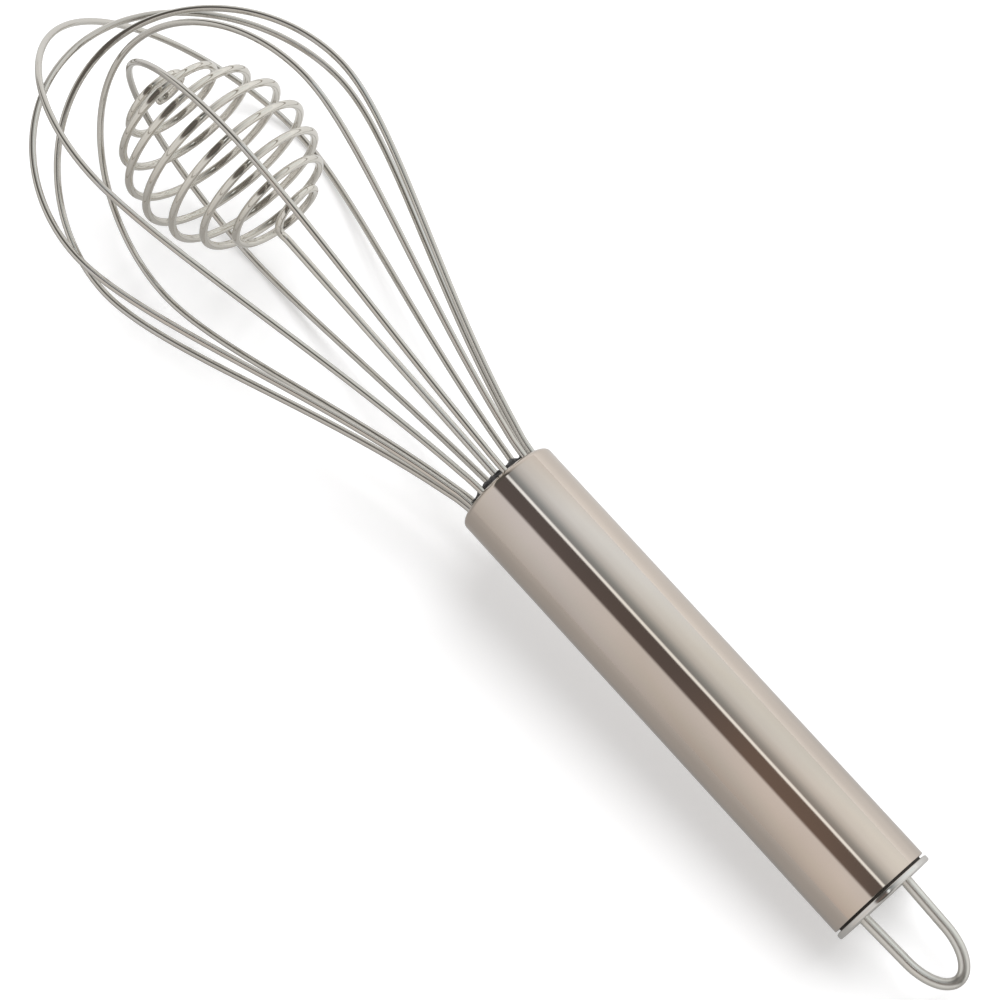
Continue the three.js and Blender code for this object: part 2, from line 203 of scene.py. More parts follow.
class StageSettings(bpy.types.PropertyGroup):
    """Camera, lamp and floor, and how finely the pieces are divided."""

    camera_place: location("Camera place", "Where the camera stands", (-0.19362, 0.03501, 0.64599))
    camera_aim: location("Camera aim", "Point at the middle of the picture", (-0.00466, 0.00326, 0.03))
    camera_roll: angle("Camera roll", "Turn of the camera about its line of sight", -32.82)
    camera_lens: FloatProperty(
        name="Lens", description="Focal length on a 36 mm frame", default=106.6, unit="CAMERA"
    )
    lamp_place: location("Lamp place", "Where the soft lamp hangs", (0.16, -0.99, 1.52))
    lamp_size: length("Lamp size", "Width of the soft lamp", 1200)
    lamp_power: FloatProperty(
        name="Lamp power", description="Power of the soft lamp", default=24, unit="POWER"
    )
    floor_size: length("Floor size", "Width of the floor", 6000)
    floor_glow: share("Floor glow", "Share of the floor's white that its shadows don't reach", 0.29)
    floor_paint: colour("Floor paint", "White of the floor", (0.86, 0.863, 0.875))
    floor_fade_start: length("Fade start", "Distance from the whisk where the floor starts to whiten", 600)
    floor_fade_end: length("Fade end", "Distance from the whisk where the floor is all white", 1800)
    floor_mirrored_turn: angle("Mirrored turn", "Turn of the mirrored floor's change across the whisk", 8)
    rings: count("Segments", "Segments round a turned piece", 160)
    wire_sides: count("Wire sides", "Extra sides of a wire, as its bevel counts", 6)


# The loops' directions round the axis, from the innermost loop to the outermost, in degrees
LOOP_AZIMUTHS = (13, 53, 87, 115, 150)

# The rings of points on the plug's flat face, as parts of its radius
PLUG_FACE_RINGS = (0.85, 0.7, 0.55, 0.4, 0.25, 0.1)

# How far below the top of the cap's flange a face may lie and still be in the seam
SEAM_REACH = 0.01 * MM


def lying_down():
    """Matrix that lays the whisk's own frame down where the frame has its sway joint."""
    wires = bpy.context.scene.whisk_wires
    handle = bpy.context.scene.whisk_handle
    up = Vector(SWAY["axis"]).normalized()
    along = Vector((up.z, 0, -up.x)).normalized()
    across = along.cross(up)
    pivot_height = handle.plug_proud - wires.stem_socket / 2
    origin = Vector(SWAY["pos_m"]) - pivot_height * along
    return Matrix.Translation(origin) @ Matrix((up, across, along)).transposed().to_4x4()


def deselect_all():
    """Leave edit mode and deselect everything."""
    if bpy.context.object and bpy.context.object.mode != "OBJECT":
        bpy.ops.object.mode_set(mode="OBJECT")
    bpy.ops.object.select_all(action="DESELECT")


def clean_mesh():
    """Merge the active mesh's doubles and point its faces outwards."""
    bpy.ops.object.mode_set(mode="EDIT")
    bpy.ops.mesh.select_all(action="SELECT")
    bpy.ops.mesh.remove_doubles(threshold=MERGE_DISTANCE)
    bpy.ops.mesh.normals_make_consistent(inside=False)
    bpy.ops.object.mode_set(mode="OBJECT")


def put_in_place(obj):
    """Lay a finished piece down, and leave its object at the origin with its place in its mesh."""
    deselect_all()
    obj.select_set(True)
    bpy.context.view_layer.objects.active = obj
    obj.matrix_world = lying_down()
    bpy.ops.object.transform_apply(location=True, rotation=True, scale=True)
    bpy.ops.object.shade_smooth_by_angle(angle=SMOOTH_ANGLE)


def arc(centre_radius, centre_height, radius, start, end, steps=8, rise=None):
    """Radius and height points of an arc in the outline of a turned piece, angles in degrees.

    An oval arc has a rise of its own along the axis.
    """
    points = []
    for step in range(steps + 1):
        turn = math.radians(start + (end - start) * step / steps)
        height = (rise or radius) * math.sin(turn)
        points.append((centre_radius + radius * math.cos(turn), centre_height + height))
    return points


def turn_piece(name, outline):
    """A circle drawn out ring by ring along an outline of radius and height points, as on a lathe."""
    deselect_all()
    radius, height = outline[0]
    rings = bpy.context.scene.whisk_stage.rings
    bpy.ops.mesh.primitive_circle_add(vertices=rings, radius=radius, location=(0, 0, 0))
    obj = bpy.context.object
    obj.name = name
    bpy.ops.object.mode_set(mode="EDIT")
    bpy.ops.mesh.select_all(action="SELECT")
    bpy.ops.transform.translate(value=(0, 0, height))
    for next_radius, next_height in outline[1:]:
        bpy.ops.mesh.extrude_edges_move(TRANSFORM_OT_translate={"value": (0, 0, next_height - height)})
        if next_radius == 0:
            bpy.ops.mesh.merge(type="CENTER")
        else:
            scale = next_radius / radius
            bpy.ops.transform.resize(value=(scale, scale, 1), center_override=(0, 0, next_height))
        radius, height = next_radius, next_height
    clean_mesh()
    return obj


def fill_start():
    """Close the open ring that the active turned piece starts with."""
    bpy.ops.object.mode_set(mode="EDIT")
    bpy.ops.mesh.select_all(action="DESELECT")
    bpy.ops.mesh.select_mode(type="EDGE")
    bpy.ops.mesh.select_non_manifold(extend=False, use_wire=False, use_boundary=True, use_multi_face=False,
                                     use_non_contiguous=False, use_verts=False)
    bpy.ops.mesh.edge_face_add()
    bpy.ops.mesh.select_all(action="SELECT")
    bpy.ops.mesh.normals_make_consistent(inside=False)
    bpy.ops.object.mode_set(mode="OBJECT")


def lump_skin(obj, above, lump_size, lump_height):
    """Give the part of the active poured piece that is above a height an uneven skin."""
    lumps = bpy.data.textures.new("Lumps", "CLOUDS")
    lumps.noise_scale = lump_size
    skin = obj.vertex_groups.new(name="Skin")
    skin.add([vertex.index for vertex in obj.data.vertices if vertex.co.z > above], 1, "ADD")
    uneven = obj.modifiers.new("Uneven skin", "DISPLACE")
    uneven.texture = lumps
    uneven.texture_coords = "LOCAL"
    uneven.vertex_group = skin.name
    uneven.strength = lump_height
    bpy.ops.object.modifier_apply(modifier=uneven.name)
    obj.vertex_groups.clear()
    bpy.data.textures.remove(lumps)


def draw_wire(name, points, diameter, rounded_start=False):
    """A round wire along a path of points, closed at both ends, with its start rounded off where it shows."""
    deselect_all()
    bpy.ops.curve.primitive_bezier_curve_add(location=(0, 0, 0))
    obj = bpy.context.object
    obj.name = name
    curve = obj.data
    curve.splines.clear()
    curve.dimensions = "3D"
    curve.twist_mode = "MINIMUM"
    curve.bevel_depth = diameter / 2
    curve.bevel_resolution = bpy.context.scene.whisk_stage.wire_sides
    curve.use_fill_caps = True
    radii = [1.0] * len(points)
    if rounded_start:
        points, radii = round_off(points, diameter / 2)
    spline = curve.splines.new("POLY")
    spline.points.add(len(points) - 1)
    for knot, point, radius in zip(spline.points, points, radii):
        knot.co = (*point, 1)
        knot.radius = radius
    bpy.ops.object.convert(target="MESH")
    obj = bpy.context.object
    clean_mesh()
    return obj


def round_off(points, radius, steps=6):
    """The same path with a half-round start: points ahead of it, and the part of the width at each point."""
    ahead = (points[0] - points[1]).normalized()
    dome = []
    widths = []
    for step in range(steps):
        turn = math.pi / 2 * (step + 0.5) / steps
        dome.append(points[0] + ahead * radius * math.cos(turn))
        widths.append(math.sin(turn))
    return [*dome, *points], [*widths, *([1.0] * len(points))]


def at_azimuth(radius, height, azimuth):
    """A point at a radius and height, in a direction round the whisk's axis."""
    return Vector((radius * math.cos(azimuth), radius * math.sin(azimuth), height))


def half_loop(sizes, order, flank_steps=40, crown_steps=36, bend_steps=8, bend_clearance=1 * MM):
    """One half of a balloon loop in its own plane, from its foot in the handle to the tip of the balloon."""
    belly_radius = sizes.belly_radius + sizes.belly_radius_step * order
    belly_height = sizes.belly_height + sizes.belly_height_step * order
    tip_height = sizes.tip_height + sizes.tip_height_step * order
    rise = tip_height - belly_height
    lean = Vector((math.sin(sizes.neck_angle), 0, math.cos(sizes.neck_angle)))
    neck = Vector((sizes.leg_circle, 0, 0))
    belly = Vector((belly_radius, 0, belly_height))
    tip = Vector((0, 0, tip_height))
    flank = interpolate_bezier(
        neck,
        neck + lean * sizes.flank_neck_pull * belly_height,
        Vector((belly_radius, 0, belly_height * (1 - sizes.flank_belly_pull))),
        belly,
        flank_steps,
    )
    crown = interpolate_bezier(
        belly,
        Vector((belly_radius, 0, belly_height + sizes.crown_belly_pull * rise)),
        Vector((sizes.crown_tip_pull * belly_radius, 0, tip_height)),
        tip,
        crown_steps,
    )
    foot = Vector((sizes.leg_circle, 0, -sizes.leg_depth))
    bend_start = neck - Vector((0, 0, sizes.neck_bend))
    bend_end = neck + lean * sizes.neck_bend
    bend = []
    for step in range(bend_steps + 1):
        t = step / bend_steps
        bend.append(bend_start * (1 - t) ** 2 + neck * 2 * t * (1 - t) + bend_end * t * t)
    above = [point for point in flank if point.z > bend_end.z + bend_clearance]
    return [foot, *bend, *above, *crown[1:]]


def loop_points(sizes, order):
    """A whole loop: up one side, over the tip and down the other side."""
    azimuth = math.radians(LOOP_AZIMUTHS[order])
    half = half_loop(sizes, order)
    up = [at_azimuth(point.x, point.z, azimuth) for point in half]
    down = [at_azimuth(-point.x, point.z, azimuth) for point in half[:-1]]
    return [*up, *reversed(down)]


def ball_points(sizes, plug_proud, steps_per_turn=72, stem_steps=48):
    """The ball's wire: a spiral over an egg that gathers onto the axis and runs down as the stem."""
    turns = sizes.ball_turns + sizes.ball_tail_turns
    steps = round(turns * steps_per_turn)
    points = []
    for step in range(steps + 1):
        turn = turns * step / steps
        polar = sizes.ball_end + sizes.ball_pitch * turn - sizes.ball_pitch_loss * turn * turn / 2
        azimuth = sizes.ball_end_azimuth - math.tau * turn
        tail = max(0, (turn - sizes.ball_turns) / sizes.ball_tail_turns)
        reach = 1 - tail * tail * (3 - 2 * tail)
        drop = sizes.ball_tail_drop * tail * tail
        height = sizes.ball_height + sizes.ball_half_length * math.cos(polar) - drop
        point = at_azimuth(sizes.ball_radius * math.sin(polar) * reach, height, azimuth)
        point.y += sizes.ball_bow * ((1 - math.cos(polar)) / 2) ** 2 * reach
        points.append(point)
    stem_top = points[-1].z
    stem_foot = plug_proud - sizes.stem_socket
    for step in range(1, stem_steps + 1):
        points.append(Vector((0, 0, stem_top + (stem_foot - stem_top) * step / stem_steps)))
    lean = Matrix.Rotation(-sizes.stem_lean, 3, "X")
    pivot = Vector((0, 0, plug_proud - sizes.stem_socket / 2))
    return [pivot + lean @ (point - pivot) for point in points]


def hang_points(sizes, cap_top, cap_face, foot_steps=8, end_steps=40):
    """The hang loop's wire: a bent-in foot, a leg that closes in a little, the round end, and back again."""
    half = sizes.hang_spacing / 2
    bend = sizes.hang_bend
    end_start = cap_face - sizes.hang_reach + sizes.hang_wire / 2 + sizes.hang_end_length
    foot_height = cap_top + sizes.hang_tail
    leg = [Vector((0, half - sizes.hang_foot, foot_height))]
    for y, z in arc(half - bend, foot_height - bend, bend, 90, 0, foot_steps):
        leg.append(Vector((0, y, z)))
    leg.append(Vector((0, half, cap_face)))
    end = []
    for step in range(end_steps + 1):
        turn = math.pi * step / end_steps
        y = sizes.hang_end_spacing / 2 * math.cos(turn)
        end.append(Vector((0, y, end_start - sizes.hang_end_length * math.sin(turn))))
    back = [Vector((0, -point.y, point.z)) for point in reversed(leg)]
    return [*leg, *end, *back]


# The range that most of a noise pattern's values lie in
NOISE_RANGE = (0.3, 0.7)

# How far a finish drifts from its middle colour and gloss, as shares of them, and how strong its bumps are
STEEL_TINT = (0.97, 1.03)
STEEL_LINE_GLOSS = (0.85, 1.15)
STEEL_SMUDGE_GLOSS = (0.85, 1.2)
STEEL_BUMP = 0.25
COMPOUND_TINT = (0.6, 1.5)
COMPOUND_GLOSS = (0.8, 1.2)
COMPOUND_BUMP = 0.6


def node_tree(owner):
    """The node tree of a material or a world, which starts with its plain shader."""
    owner.use_nodes = True
    return owner.node_tree


def feed(tree, value, socket):
    """Link a node's output to a socket, or set the socket to a plain value."""
    if isinstance(value, bpy.types.NodeSocket):
        tree.links.new(value, socket)
    else:
        socket.default_value = value


def calculate(tree, operation, *values):
    """The result of a calculation on nodes' outputs and plain values."""
    calculation = tree.nodes.new("ShaderNodeMath")
    calculation.operation = operation
    for value, socket in zip(values, calculation.inputs):
        feed(tree, value, socket)
    return calculation.outputs["Value"]


def rescale(tree, value, old_range, new_range):
    """A value moved from an old range to a new one."""
    ends = tree.nodes.new("ShaderNodeMapRange")
    ends.inputs["From Min"].default_value = old_range[0]
    ends.inputs["From Max"].default_value = old_range[1]
    ends.inputs["To Min"].default_value = new_range[0]
    ends.inputs["To Max"].default_value = new_range[1]
    tree.links.new(value, ends.inputs["Value"])
    return ends.outputs["Result"]


def separate(tree, vector):
    """The X, Y and Z outputs of a vector."""
    parts = tree.nodes.new("ShaderNodeSeparateXYZ")
    tree.links.new(vector, parts.inputs["Vector"])
    return parts.outputs


def mix(tree, factor, first, second, blend="MIX"):
    """Two colours mixed by a factor."""
    mixed = tree.nodes.new("ShaderNodeMix")
    mixed.data_type = "RGBA"
    mixed.blend_type = blend
    feed(tree, factor, mixed.inputs["Factor"])
    feed(tree, first, mixed.inputs["A"])
    feed(tree, second, mixed.inputs["B"])
    return mixed.outputs["Result"]


def along_whisk(tree, scale_across=1):
    """Object coordinates turned to run along the whisk, and scaled across it."""
    coordinates = tree.nodes.new("ShaderNodeTexCoord")
    turned = tree.nodes.new("ShaderNodeMapping")
    axis = lying_down().to_3x3().col[2]
    turned.inputs["Rotation"].default_value = (0, math.atan2(axis.z, axis.x), 0)
    turned.inputs["Scale"].default_value = (1, scale_across, scale_across)
    tree.links.new(coordinates.outputs["Object"], turned.inputs["Vector"])
    return turned.outputs["Vector"]


def noise(tree, vector, scale, detail):
    """A noise pattern on given coordinates."""
    texture = tree.nodes.new("ShaderNodeTexNoise")
    texture.inputs["Scale"].default_value = scale
    texture.inputs["Detail"].default_value = detail
    tree.links.new(vector, texture.inputs["Vector"])
    return texture.outputs["Fac"]


def bands(tree, value, stops):
    """Colours that change with a value, from stops of values and colours."""
    low, high = stops[0][0], stops[-1][0]
    ramp = tree.nodes.new("ShaderNodeValToRGB")
    elements = ramp.color_ramp.elements
    elements.remove(elements[1])
    for order, (stop, shade) in enumerate(stops):
        position = (stop - low) / (high - low)
        element = elements[0] if order == 0 else elements.new(position)
        element.position = position
        element.color = (*shade, 1)
    tree.links.new(rescale(tree, value, (low, high), (0, 1)), ramp.inputs["Fac"])
    return ramp.outputs["Color"]


def tint(tree, pattern, base, parts):
    """A colour that drifts with a pattern, from one part of its base colour to another."""
    ramp = tree.nodes.new("ShaderNodeValToRGB")
    for element, position, part in zip(ramp.color_ramp.elements, NOISE_RANGE, parts):
        element.position = position
        element.color = (*[min(1, channel * part) for channel in base], 1)
    tree.links.new(pattern, ramp.inputs["Fac"])
    return ramp.outputs["Color"]


def bump(tree, pattern, strength, depth):
    """Surface directions that follow the bumps of a pattern."""
    bumps = tree.nodes.new("ShaderNodeBump")
    bumps.inputs["Strength"].default_value = strength
    bumps.inputs["Distance"].default_value = depth
    tree.links.new(pattern, bumps.inputs["Height"])
    return bumps.outputs["Normal"]


def polished_steel(name, base, roughness, line_scale, line_stretch, line_depth, smudge_scale):
    """Polished steel with drawing lines along the whisk, and faint smudges in its gloss."""
    material = bpy.data.materials.new(name)
    tree = node_tree(material)
    surface = tree.nodes["Principled BSDF"].inputs
    surface["Metallic"].default_value = 1
    lines = noise(tree, along_whisk(tree, line_stretch), line_scale, detail=3)
    smudges = noise(tree, along_whisk(tree), smudge_scale, detail=4)
    line_gloss = rescale(tree, lines, NOISE_RANGE, [roughness * part for part in STEEL_LINE_GLOSS])
    smudge_gloss = rescale(tree, smudges, NOISE_RANGE, STEEL_SMUDGE_GLOSS)
    tree.links.new(tint(tree, smudges, base, STEEL_TINT), surface["Base Color"])
    tree.links.new(calculate(tree, "MULTIPLY", line_gloss, smudge_gloss), surface["Roughness"])
    tree.links.new(bump(tree, lines, STEEL_BUMP, line_depth), surface["Normal"])
    return material


def cast_compound(name, base, roughness, grain_scale, grain_depth):
    """Poured compound: a mottled colour, and a grainy skin."""
    material = bpy.data.materials.new(name)
    tree = node_tree(material)
    surface = tree.nodes["Principled BSDF"].inputs
    grain = noise(tree, along_whisk(tree), grain_scale, detail=5)
    gloss = rescale(tree, grain, NOISE_RANGE, [roughness * part for part in COMPOUND_GLOSS])
    tree.links.new(tint(tree, grain, base, COMPOUND_TINT), surface["Base Color"])
    tree.links.new(gloss, surface["Roughness"])
    tree.links.new(bump(tree, grain, COMPOUND_BUMP, grain_depth), surface["Normal"])
    return material


def dress(obj, material, slot, body, *nodes):
    """Give a finished piece its material, and set it in the frame in place of its CAD nodes."""
    obj.data.materials.clear()
    obj.data.materials.append(material)
    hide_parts(*nodes)
    if body:
        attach(obj, body)


class WHISK_OT_handle(bpy.types.Operator):
    """Turn the handle's tube, with its rolled lip"""

    bl_idname = "whisk.handle"
    bl_label = "Handle Tube"

    def execute(self, context):
        sizes = context.scene.whisk_handle
        finish = context.scene.whisk_finishes
        outer = sizes.diameter / 2
        inner = outer - sizes.wall
        lip = outer - sizes.lip_roll
        depth = sizes.lip_depth
        edge = sizes.butt_edge
        outline = [
            (inner, -sizes.tube_length),
            *arc(outer - edge, edge - sizes.tube_length, edge, -90, 0, steps=4),
            *arc(lip, -depth, sizes.lip_roll, 0, 90, steps=24, rise=depth),
            *arc(lip, -sizes.wall / 2, sizes.wall / 2, 90, 270)[1:-1],
            *arc(lip, -depth, sizes.lip_roll - sizes.wall, 90, 0, steps=12, rise=depth - sizes.wall),
            (inner, -sizes.tube_length),
        ]
        tube = turn_piece("polished_tube", outline)
        put_in_place(tube)
        steel = polished_steel(
            "Handle steel", finish.handle, finish.handle_gloss,
            line_scale=30, line_stretch=40, line_depth=0.006 * MM, smudge_scale=45,
        )
        dress(tube, steel, "handle_steel", BODY, "handle_tube")
        return {"FINISHED"}


class WHISK_OT_plug(bpy.types.Operator):
    """Turn the dark plug in the mouth, and give the resin behind it its finish"""

    bl_idname = "whisk.plug"
    bl_label = "Head Plug"

    def execute(self, context):
        sizes = context.scene.whisk_handle
        wires = context.scene.whisk_wires
        finish = context.scene.whisk_finishes
        bore = sizes.diameter / 2 - sizes.wall - sizes.fit_gap
        mouth = sizes.diameter / 2 - sizes.lip_roll - sizes.fit_gap
        boss = wires.leg_circle - wires.diameter / 2
        edge = sizes.plug_edge
        outline = [
            (bore, -sizes.plug_depth),
            (bore, -sizes.lip_roll - sizes.fit_gap),
            (mouth, -sizes.lip_roll),
            (mouth, -sizes.plug_sink),
            *arc(boss + edge, edge - sizes.plug_sink, edge, -90, -150, steps=6),
            *arc(boss - edge, sizes.plug_proud - edge, edge, 20, 90),
            *[((boss - edge) * part, sizes.plug_proud) for part in PLUG_FACE_RINGS],
            (0, sizes.plug_proud),
        ]
        plug = turn_piece("sealed_mouth", outline)
        fill_start()
        lump_skin(plug, -sizes.plug_sink / 2, sizes.plug_lump_size, sizes.plug_lump_height)
        put_in_place(plug)
        compound = cast_compound(
            "Sealing compound", finish.plug, finish.plug_gloss, grain_scale=450, grain_depth=0.6 * MM
        )
        dress(plug, compound, "plug_black", BODY, "head_plug")
        resin = cast_compound(
            "Cast resin", finish.resin, finish.resin_gloss, grain_scale=300, grain_depth=0.1 * MM
        )
        core = frame["nodes"]["resin_core"]
        core.data.materials.clear()
        core.data.materials.append(resin)
        return {"FINISHED"}


class WHISK_OT_balloon(bpy.types.Operator):
    """Bend the nested balloon wires"""

    bl_idname = "whisk.balloon"
    bl_label = "Balloon Wires"

    def execute(self, context):
        sizes = context.scene.whisk_wires
        finish = context.scene.whisk_finishes
        steel = polished_steel(
            "Wire steel", finish.wire, finish.wire_gloss,
            line_scale=40, line_stretch=30, line_depth=0.01 * MM, smudge_scale=60,
        )
        for order in range(len(LOOP_AZIMUTHS)):
            loop = draw_wire(f"bent_wire_{order + 1}", loop_points(sizes, order), sizes.diameter)
            put_in_place(loop)
            dress(loop, steel, "wire_steel", BODY, f"balloon_wire_{order + 1}")
        return {"FINISHED"}


class WHISK_OT_ball(bpy.types.Operator):
    """Wind the spiral ball and its stem from one wire"""

    bl_idname = "whisk.ball"
    bl_label = "Aerator Ball"

    def execute(self, context):
        sizes = context.scene.whisk_wires
        finish = context.scene.whisk_finishes
        proud = context.scene.whisk_handle.plug_proud
        ball = draw_wire("wound_ball", ball_points(sizes, proud), sizes.ball_wire, rounded_start=True)
        put_in_place(ball)
        steel = polished_steel(
            "Ball steel", finish.ball, finish.ball_gloss,
            line_scale=45, line_stretch=24, line_depth=0.012 * MM, smudge_scale=70,
        )
        dress(ball, steel, "wire_steel", None, "aerator_ball")
        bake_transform(ball)
        return {"FINISHED"}


class WHISK_OT_end_cap(bpy.types.Operator):
    """Turn the end cap and bend the hang loop that goes through it"""

    bl_idname = "whisk.end_cap"
    bl_label = "End Cap and Hang Loop"

    def execute(self, context):
        sizes = context.scene.whisk_handle
        finish = context.scene.whisk_finishes
        top = -sizes.tube_length - sizes.cap_gap
        face = top - sizes.cap_thickness
        flange = sizes.diameter / 2 + sizes.cap_overhang
        skirt = sizes.diameter / 2 - sizes.wall - sizes.fit_gap
        edge = sizes.cap_edge
        rim = flange - sizes.cap_rim
        outline = [
            (skirt - sizes.cap_skirt_wall, top),
            (skirt - sizes.cap_skirt_wall, top + sizes.cap_skirt),
            (skirt, top + sizes.cap_skirt),
            (skirt, top),
            (flange - edge, top),
            *arc(flange - edge, top - edge, edge, 90, 0, steps=5),
            *arc(flange - edge, face + edge, edge, 0, -90, steps=5),
            (rim, face),
            (rim - sizes.cap_dish, face + sizes.cap_dish),
            (0, face + sizes.cap_dish),
        ]
        cap = turn_piece("pressed_cap", outline)
        fill_start()
        in_seam = [polygon.index for polygon in cap.data.polygons if polygon.center.z > top - SEAM_REACH]
        put_in_place(cap)
        steel = polished_steel(
            "Cap steel", finish.cap, finish.cap_gloss,
            line_scale=60, line_stretch=12, line_depth=0.008 * MM, smudge_scale=80,
        )
        dress(cap, steel, "cap_steel", BODY, "end_cap")
        # The faces in the seam get a dark colour: painted shade in the gap between the tube and the cap.
        painted_shade = cast_compound(
            "Seam sealant", finish.seam, finish.seam_gloss, grain_scale=700, grain_depth=0.05 * MM
        )
        cap.data.materials.append(painted_shade)
        for polygon_index in in_seam:
            cap.data.polygons[polygon_index].material_index = 1
        loop = draw_wire("hanging_wire", hang_points(sizes, top, face), sizes.hang_wire)
        put_in_place(loop)
        dull_steel = polished_steel(
            "Hang loop steel", finish.hang, finish.hang_gloss,
            line_scale=50, line_stretch=20, line_depth=0.02 * MM, smudge_scale=90,
        )
        dress(loop, dull_steel, "wire_steel", BODY, "hang_loop")
        return {"FINISHED"}


# The studio that the polished steel shows, across the whisk: degrees from straight up towards the picture's
# right, and the colour of what is there. A dark strip hangs overhead, with a narrow lit edge on its right.
STUDIO_ACROSS = (
    (-90, (0.62, 0.575, 0.56)),
    (-63, (0.72, 0.69, 0.67)),
    (-43, (0.79, 0.75, 0.745)),
    (-23, (0.82, 0.785, 0.79)),
    (-18, (0.14, 0.115, 0.11)),
    (9, (0.13, 0.11, 0.105)),
    (11.5, (1.3, 1.32, 1.34)),
    (14, (1.3, 1.32, 1.34)),
    (17, (0.30, 0.31, 0.32)),
    (24, (0.38, 0.40, 0.41)),
    (36, (0.70, 0.70, 0.70)),
    (49, (0.88, 0.89, 0.90)),
    (70, (0.96, 0.98, 0.985)),
    (90, (0.95, 0.97, 0.98)),
)

# The same over the balloon, where the dark strip is wider and has no lit edge
HEAD_ACROSS = (
    (-90, (0.66, 0.645, 0.63)),
    (-50, (0.82, 0.81, 0.795)),
    (-24, (0.86, 0.85, 0.835)),
    (-18, (0.12, 0.115, 0.105)),
    (19, (0.12, 0.115, 0.105)),
    (29, (0.45, 0.445, 0.435)),
    (50, (0.76, 0.755, 0.74)),
    (70, (0.90, 0.895, 0.88)),
    (90, (0.92, 0.915, 0.90)),
)

# How much of the balloon's studio there is along the whisk, by how far a direction leans towards the tip. It
# comes back past the butt.
HEAD_SHARE = (
    (-0.36, (1, 1, 1)),
    (-0.28, (0, 0, 0)),
    (0.14, (0, 0, 0)),
    (0.22, (1, 1, 1)),
)

# The handle's studio along the whisk, by the same lean: a tint that is brighter and cooler towards the tip,
# and a brown haze that lifts the dark strip towards the butt
STUDIO_TINT = (
    (-0.09, (0.96, 0.99, 0.98)),
    (0, (0.96, 0.97, 0.94)),
    (0.11, (1.03, 1.08, 1.12)),
)
STUDIO_HAZE = (
    (-0.3, (0, 0, 0)),
    (-0.22, (0.08, 0.045, 0.025)),
    (-0.14, (0.08, 0.045, 0.025)),
    (-0.06, (0.01, 0.005, 0.005)),
    (0.11, (0, 0, 0)),
)

# The floor's colour as the steel shows it, with painted shade: darker towards the picture's left and darkest
# just left of the whisk. Metres across the whisk, from the picture's right to its left, and the colour there
MIRRORED_FLOOR = (
    (-1.5, (0.69, 0.69, 0.69)),
    (-0.6, (0.61, 0.61, 0.61)),
    (-0.15, (0.59, 0.59, 0.59)),
    (-0.03, (0.50, 0.50, 0.50)),
    (0.03, (0.16, 0.15, 0.14)),
    (0.15, (0.25, 0.24, 0.23)),
    (0.6, (0.35, 0.33, 0.32)),
    (1.5, (0.46, 0.43, 0.41)),
)


def in_radians(stops):
    """Stops of degrees and colours, with their degrees made radians."""
    return [(math.radians(degrees), shade) for degrees, shade in stops]


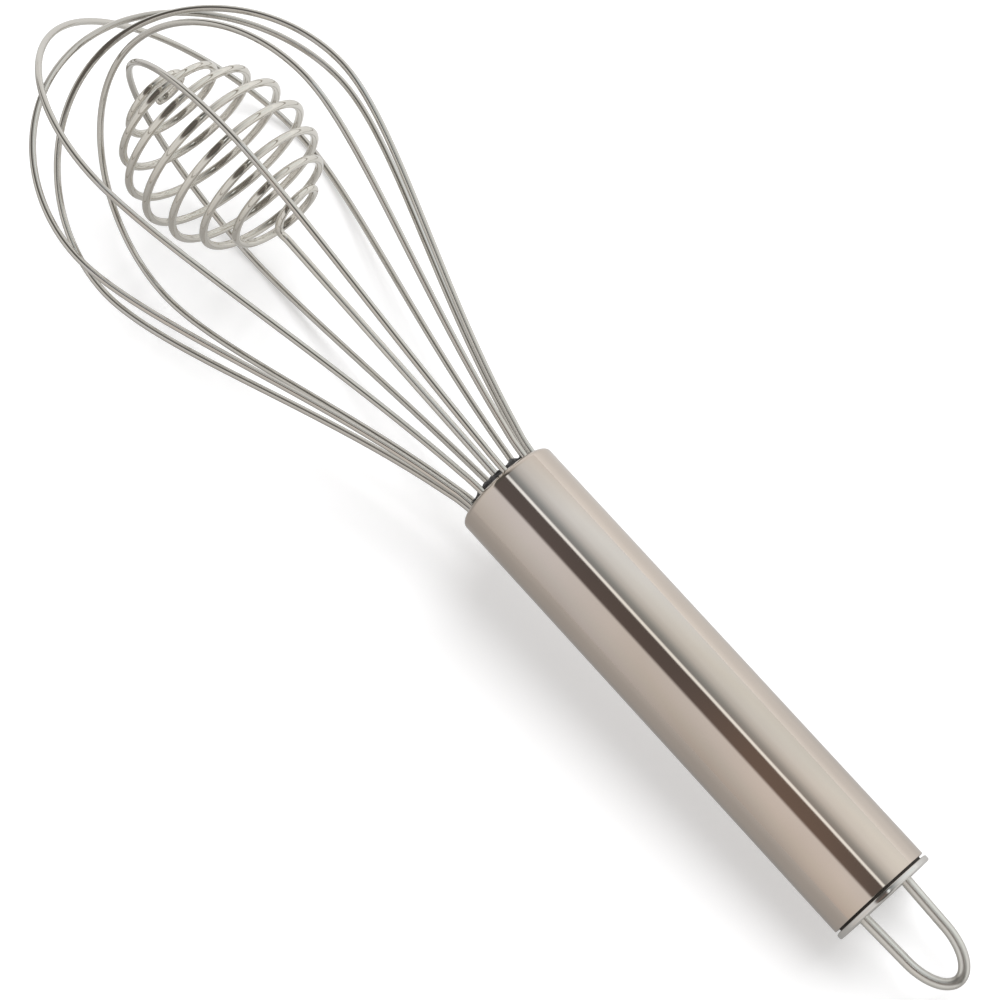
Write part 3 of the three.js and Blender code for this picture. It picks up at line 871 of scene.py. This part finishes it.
class WHISK_OT_stage(bpy.types.Operator):
    """Lay the pale floor and set the studio light and the camera"""

    bl_idname = "whisk.stage"
    bl_label = "Stage"

    def execute(self, context):
        stage = context.scene.whisk_stage
        self.lay_floor(stage)
        self.light_studio(context.scene)
        self.hang_lamp(stage)
        self.place_camera(context.scene, stage)
        context.scene.view_settings.view_transform = "Standard"
        return {"FINISHED"}

    def lay_floor(self, stage):
        """Lay a floor that keeps the whisk's shadow, turns white far off and looks dimmer in the steel."""
        deselect_all()
        bpy.ops.mesh.primitive_plane_add(size=stage.floor_size, location=(0, 0, 0))
        floor = bpy.context.object
        floor.name = "Floor"
        material = bpy.data.materials.new("Pale floor")
        tree = node_tree(material)
        path = tree.nodes.new("ShaderNodeLightPath").outputs
        coordinates = tree.nodes.new("ShaderNodeTexCoord").outputs["Object"]
        turned = tree.nodes.new("ShaderNodeMapping")
        turned.inputs["Rotation"].default_value = (0, 0, -stage.floor_mirrored_turn)
        tree.links.new(coordinates, turned.inputs["Vector"])
        across = separate(tree, turned.outputs["Vector"])["Y"]
        # The floor's colour for glossy rays is painted shade, darker towards the picture's left.
        mirrored = bands(tree, across, MIRRORED_FLOOR)
        paint = tree.nodes["Principled BSDF"]
        paint.inputs["Roughness"].default_value = 1
        paint.inputs["Specular IOR Level"].default_value = 0
        shade = mix(tree, path["Is Glossy Ray"], (*stage.floor_paint, 1), mirrored)
        tree.links.new(shade, paint.inputs["Base Color"])
        distance = tree.nodes.new("ShaderNodeVectorMath")
        distance.operation = "LENGTH"
        tree.links.new(coordinates, distance.inputs[0])
        fade_range = (stage.floor_fade_start, stage.floor_fade_end)
        far_glow = rescale(tree, distance.outputs["Value"], fade_range, (stage.floor_glow, 1))
        bounced = calculate(tree, "MAXIMUM", path["Is Glossy Ray"], path["Is Transmission Ray"])
        bounced_glow = calculate(tree, "MULTIPLY", bounced, stage.floor_glow)
        glow = tree.nodes.new("ShaderNodeEmission")
        strength = calculate(tree, "MULTIPLY_ADD", path["Is Camera Ray"], far_glow, bounced_glow)
        tree.links.new(strength, glow.inputs["Strength"])
        both = tree.nodes.new("ShaderNodeAddShader")
        tree.links.new(paint.outputs["BSDF"], both.inputs[0])
        tree.links.new(glow.outputs["Emission"], both.inputs[1])
        tree.links.new(both.outputs["Shader"], tree.nodes["Material Output"].inputs["Surface"])
        floor.data.materials.append(material)

    def light_studio(self, scene):
        """Surround the whisk with the studio that the steel shows, which the camera sees as plain white."""
        world = bpy.data.worlds.new("Studio")
        scene.world = world
        tree = node_tree(world)
        direction = separate(tree, tree.nodes.new("ShaderNodeTexCoord").outputs["Generated"])
        to_right = calculate(tree, "MULTIPLY", direction["Y"], -1)
        turn = calculate(tree, "ARCTAN2", to_right, direction["Z"])
        across = bands(tree, turn, in_radians(STUDIO_ACROSS))
        tinted = mix(tree, 1, across, bands(tree, direction["X"], STUDIO_TINT), "MULTIPLY")
        hazed = mix(tree, 1, tinted, bands(tree, direction["X"], STUDIO_HAZE), "ADD")
        head = bands(tree, turn, in_radians(HEAD_ACROSS))
        studio = mix(tree, bands(tree, direction["X"], HEAD_SHARE), hazed, head)
        path = tree.nodes.new("ShaderNodeLightPath").outputs
        seen = mix(tree, path["Is Camera Ray"], studio, WHITE)
        tree.links.new(seen, tree.nodes["Background"].inputs["Color"])

    def hang_lamp(self, stage):
        """Hang the soft lamp that casts the shadow, aimed at the whisk and not mirrored in it."""
        deselect_all()
        bpy.ops.object.light_add(type="AREA", location=stage.lamp_place)
        lamp = bpy.context.object
        lamp.name = "Soft lamp"
        lamp.data.shape = "DISK"
        lamp.data.size = stage.lamp_size
        lamp.data.energy = stage.lamp_power
        lamp.rotation_euler = (-Vector(stage.lamp_place)).to_track_quat("-Z", "Y").to_euler()
        lamp.visible_glossy = False

    def place_camera(self, scene, stage):
        """Stand the camera where the photo was taken from."""
        stand = Vector(stage.camera_place)
        sight = Vector(stage.camera_aim) - stand
        turn = sight.to_track_quat("-Z", "Y").to_matrix() @ Matrix.Rotation(stage.camera_roll, 3, "Z")
        bpy.ops.object.camera_add(location=stand, rotation=turn.to_euler())
        camera = bpy.context.object
        camera.data.lens = stage.camera_lens
        camera.data.sensor_width = SENSOR_WIDTH
        scene.camera = camera


class WHISK_PT_panel(bpy.types.Panel):
    """Lists the whisk's pieces in the order in which they are made, and then its settings"""

    bl_idname = "WHISK_PT_panel"
    bl_label = "Aerator Whisk"
    bl_space_type = "VIEW_3D"
    bl_region_type = "UI"
    bl_category = "Whisk"

    def draw(self, context):
        for operator in OPERATORS:
            self.layout.operator(operator.bl_idname)
        for name, group in GROUPS.items():
            box = self.layout.box()
            for setting in group.__annotations__:
                box.prop(getattr(context.scene, name), setting)


OPERATORS = (
    WHISK_OT_handle,
    WHISK_OT_plug,
    WHISK_OT_balloon,
    WHISK_OT_ball,
    WHISK_OT_end_cap,
    WHISK_OT_stage,
)
GROUPS = {
    "whisk_handle": HandleSizes,
    "whisk_wires": WireSizes,
    "whisk_finishes": Finishes,
    "whisk_stage": StageSettings,
}


def register():
    """Register the classes, and give the scene its settings."""
    for cls in (*GROUPS.values(), *OPERATORS, WHISK_PT_panel):
        bpy.utils.register_class(cls)
    for name, group in GROUPS.items():
        setattr(bpy.types.Scene, name, PointerProperty(type=group))


def unregister():
    """Take the settings and the classes away again."""
    for name in GROUPS:
        delattr(bpy.types.Scene, name)
    for cls in reversed((*GROUPS.values(), *OPERATORS, WHISK_PT_panel)):
        bpy.utils.unregister_class(cls)


def main():
    """Make every piece in order."""
    register()
    bpy.ops.whisk.handle()
    bpy.ops.whisk.plug()
    bpy.ops.whisk.balloon()
    bpy.ops.whisk.ball()
    bpy.ops.whisk.end_cap()
    bpy.ops.whisk.stage()


if __name__ == "__main__":
    main()
